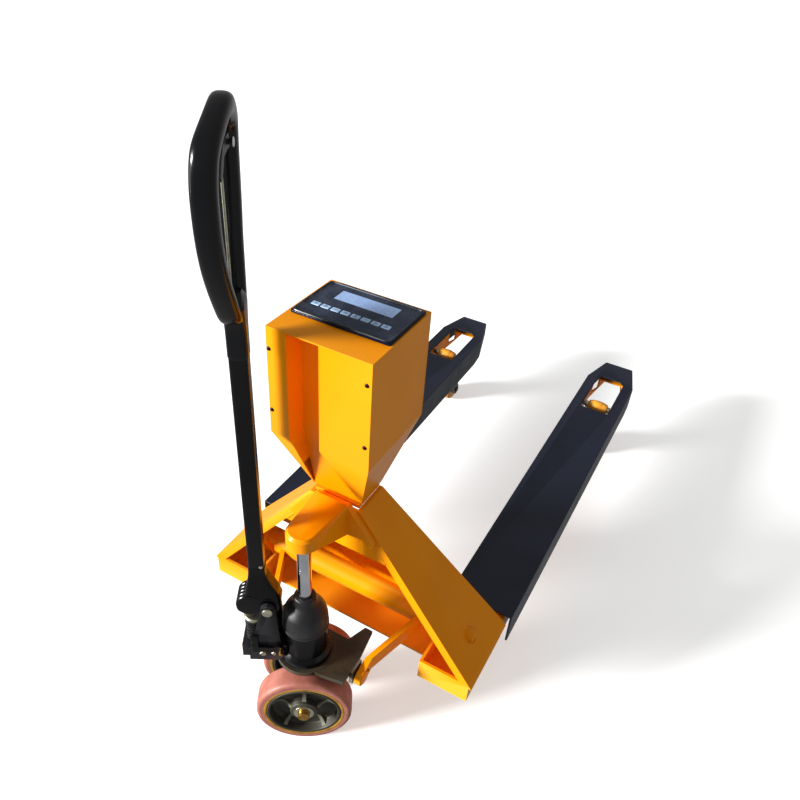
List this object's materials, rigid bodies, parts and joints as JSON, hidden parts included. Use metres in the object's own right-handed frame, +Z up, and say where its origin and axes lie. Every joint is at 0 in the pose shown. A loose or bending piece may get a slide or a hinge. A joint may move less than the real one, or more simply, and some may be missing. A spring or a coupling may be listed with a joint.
{
  "type": "pallet scale",
  "caption": "Hand pallet truck with a built-in scale: two weighing forks, A-frame, hydraulic pump on steered wheels, tiller and a weight indicator on a funnel-shaped box.",
  "frame": {"origin": "middle of the whole object's footprint, on the floor", "axes": "+Y from the tiller towards the fork tips, +X to the right of an operator who looks along the forks, +Z up"},
  "size_m": [0.685, 1.5838, 1.32],
  "materials": {
    "yellow_paint": "glossy powder coat",
    "navy_paint": "satin powder coat",
    "black_paint": "gloss enamel",
    "cast_iron": "painted dark, satin",
    "steel": "machined and zinc plated",
    "chrome": "ground and chrome plated",
    "rubber": "moulded, matt",
    "red_tyre": "cast polyurethane, satin",
    "amber_tyre": "cast polyurethane, satin",
    "black_plastic": "moulded, semi-gloss",
    "panel_film": "polyester film, gloss",
    "display_glass": "liquid crystal under clear window",
    "key_film": "embossed film, satin",
    "circuit": "solder mask, satin",
    "aluminium": "milled"
  },
  "bodies": {
    "frame": {"frame_leg_left": "yellow_paint", "frame_leg_right": "yellow_paint", "front_cross_plate": "yellow_paint", "heel_plate": "yellow_paint", "crown_plate": "yellow_paint", "head_casting": "yellow_paint", "piston_rod": "chrome", "load_shell_left": "navy_paint", "load_shell_right": "navy_paint", "chassis_fork_left": "yellow_paint", "chassis_fork_right": "yellow_paint", "load_cell_left_rear": "aluminium", "load_cell_left_front": "aluminium", "load_cell_right_rear": "aluminium", "load_cell_right_front": "aluminium", "guide_pin_left": "steel", "guide_pin_right": "steel", "indicator_housing": "yellow_paint", "housing_rear_cover": "yellow_paint", "indicator_bezel": "panel_film", "display_window": "display_glass", "indicator_board": "circuit", "battery": "black_plastic"},
    "carriage": {"thrust_plate": "cast_iron", "thrust_bearing": "steel"},
    "pump": {"pump_body": "black_paint", "pump_boot": "rubber", "wheel_axle": "steel", "plunger_spring": "steel", "handle_pivot_pin": "steel"},
    "tiller": {"handle_bracket": "black_paint", "handle_shaft": "black_paint", "grip_loop": "black_plastic"},
    "cam": {"cam_roller": "steel"},
    "plunger": {"pump_plunger": "steel"},
    "grip_lever": {"release_lever": "black_plastic"},
    "cable": {"pull_rod": "steel"},
    "valve": {"valve_lever": "steel"},
    "rocker": {"rocker": "yellow_paint"},
    "steer_wheel_left": {"wheel_tyre_left": "red_tyre", "wheel_hub_left": "cast_iron"},
    "push_rod_left": {"push_rod_left": "steel"},
    "load_arm_left": {"load_arm_left": "black_paint"},
    "load_wheel_left": {"load_roller_left": "amber_tyre"},
    "guide_wheel_left": {"guide_roller_left": "amber_tyre"},
    "steer_wheel_right": {"wheel_tyre_right": "red_tyre", "wheel_hub_right": "cast_iron"},
    "push_rod_right": {"push_rod_right": "steel"},
    "load_arm_right": {"load_arm_right": "black_paint"},
    "load_wheel_right": {"load_roller_right": "amber_tyre"},
    "guide_wheel_right": {"guide_roller_right": "amber_tyre"},
    "key_1": {"key_1": "key_film"},
    "key_2": {"key_2": "key_film"},
    "key_3": {"key_3": "key_film"},
    "key_4": {"key_4": "key_film"},
    "key_5": {"key_5": "key_film"},
    "key_6": {"key_6": "key_film"},
    "key_7": {"key_7": "key_film"},
    "key_8": {"key_8": "key_film"}
  },
  "joints": [
    {"name": "lift", "type": "slide", "parent": "frame", "child": "carriage", "axis": [0, 0, 1], "range_m": [0, 0.105]},
    {"name": "steer", "type": "hinge", "parent": "carriage", "child": "pump", "pos_m": [0, -0.65795, 0.1], "axis": [0, 0, 1], "range_deg": [-40, 135]},
    {"name": "handle_tilt", "type": "hinge", "parent": "pump", "child": "tiller", "pos_m": [-0.06062, -0.69295, 0.37], "axis": [0.5, -0.866, 0], "range_deg": [0, 80], "stiffness_Nm_per_rad": 30, "springref_deg": -11.46},
    {"name": "cam_spin", "type": "hinge", "parent": "tiller", "child": "cam", "pos_m": [-0.10219, -0.71695, 0.354], "axis": [0.5, -0.866, 0], "continuous": true},
    {"name": "plunger_stroke", "type": "slide", "parent": "pump", "child": "plunger", "axis": [0, 0, 1], "range_m": [-0.034, 0], "deforming": ["plunger_spring"]},
    {"name": "lever_squeeze", "type": "hinge", "parent": "tiller", "child": "grip_lever", "pos_m": [-0.08794, -0.68563, 1.254], "axis": [-0.866, -0.5, 0], "range_deg": [0, 18], "stiffness_Nm_per_rad": 2, "springref_deg": -5.73},
    {"name": "cable_pull", "type": "slide", "parent": "tiller", "child": "cable", "axis": [0, 0, 1], "range_m": [0, 0.0063]},
    {"name": "valve_turn", "type": "hinge", "parent": "pump", "child": "valve", "pos_m": [-0.02653, -0.71599, 0.257], "axis": [0.5, -0.866, 0], "range_deg": [-8, 0]},
    {"name": "rocker_turn", "type": "hinge", "parent": "frame", "child": "rocker", "pos_m": [0, -0.47325, 0.248], "axis": [1, 0, 0], "range_deg": [-34.3, 0]},
    {"name": "wheel_spin_left", "type": "hinge", "parent": "pump", "child": "steer_wheel_left", "pos_m": [-0.028, -0.60945, 0.1], "axis": [0.5, -0.866, 0], "continuous": true},
    {"name": "push_left", "type": "slide", "parent": "frame", "child": "push_rod_left", "axis": [0, 1, 0], "range_m": [-0.0472, 0]},
    {"name": "load_arm_turn_left", "type": "hinge", "parent": "frame", "child": "load_arm_left", "pos_m": [-0.2675, 0.50475, 0.127], "axis": [1, 0, 0], "range_deg": [0, 58.2]},
    {"name": "load_wheel_spin_left", "type": "hinge", "parent": "load_arm_left", "child": "load_wheel_left", "pos_m": [-0.2675, 0.57975, 0.04], "axis": [1, 0, 0], "continuous": true},
    {"name": "guide_spin_left", "type": "hinge", "parent": "frame", "child": "guide_wheel_left", "pos_m": [-0.2675, 0.56275, 0.178], "axis": [1, 0, 0], "continuous": true},
    {"name": "wheel_spin_right", "type": "hinge", "parent": "pump", "child": "steer_wheel_right", "pos_m": [0.028, -0.70645, 0.1], "axis": [0.5, -0.866, 0], "continuous": true},
    {"name": "push_right", "type": "slide", "parent": "frame", "child": "push_rod_right", "axis": [0, 1, 0], "range_m": [-0.0472, 0]},
    {"name": "load_arm_turn_right", "type": "hinge", "parent": "frame", "child": "load_arm_right", "pos_m": [0.2675, 0.50475, 0.127], "axis": [1, 0, 0], "range_deg": [0, 58.2]},
    {"name": "load_wheel_spin_right", "type": "hinge", "parent": "load_arm_right", "child": "load_wheel_right", "pos_m": [0.2675, 0.57975, 0.04], "axis": [1, 0, 0], "continuous": true},
    {"name": "guide_spin_right", "type": "hinge", "parent": "frame", "child": "guide_wheel_right", "pos_m": [0.2675, 0.56275, 0.178], "axis": [1, 0, 0], "continuous": true},
    {"name": "key_press_1", "type": "slide", "parent": "frame", "child": "key_1", "axis": [0, 0, -1], "range_m": [0, 0.0008], "stiffness_N_per_m": 1000, "springref_m": -0.0005},
    {"name": "key_press_2", "type": "slide", "parent": "frame", "child": "key_2", "axis": [0, 0, -1], "range_m": [0, 0.0008], "stiffness_N_per_m": 1000, "springref_m": -0.0005},
    {"name": "key_press_3", "type": "slide", "parent": "frame", "child": "key_3", "axis": [0, 0, -1], "range_m": [0, 0.0008], "stiffness_N_per_m": 1000, "springref_m": -0.0005},
    {"name": "key_press_4", "type": "slide", "parent": "frame", "child": "key_4", "axis": [0, 0, -1], "range_m": [0, 0.0008], "stiffness_N_per_m": 1000, "springref_m": -0.0005},
    {"name": "key_press_5", "type": "slide", "parent": "frame", "child": "key_5", "axis": [0, 0, -1], "range_m": [0, 0.0008], "stiffness_N_per_m": 1000, "springref_m": -0.0005},
    {"name": "key_press_6", "type": "slide", "parent": "frame", "child": "key_6", "axis": [0, 0, -1], "range_m": [0, 0.0008], "stiffness_N_per_m": 1000, "springref_m": -0.0005},
    {"name": "key_press_7", "type": "slide", "parent": "frame", "child": "key_7", "axis": [0, 0, -1], "range_m": [0, 0.0008], "stiffness_N_per_m": 1000, "springref_m": -0.0005},
    {"name": "key_press_8", "type": "slide", "parent": "frame", "child": "key_8", "axis": [0, 0, -1], "range_m": [0, 0.0008], "stiffness_N_per_m": 1000, "springref_m": -0.0005}
  ],
  "couplings": [
    {"joint": "plunger_stroke", "follows": "handle_tilt", "m_per_rad": -0.02435},
    {"joint": "cable_pull", "follows": "lever_squeeze", "m_per_rad": 0.0197},
    {"joint": "valve_turn", "follows": "lever_squeeze", "ratio": -0.42},
    {"joint": "rocker_turn", "follows": "lift", "rad_per_m": -5.7},
    {"joint": "push_left", "follows": "lift", "ratio": -0.4495},
    {"joint": "load_arm_turn_left", "follows": "lift", "rad_per_m": 9.674},
    {"joint": "push_right", "follows": "lift", "ratio": -0.4495},
    {"joint": "load_arm_turn_right", "follows": "lift", "rad_per_m": 9.674}
  ]
}
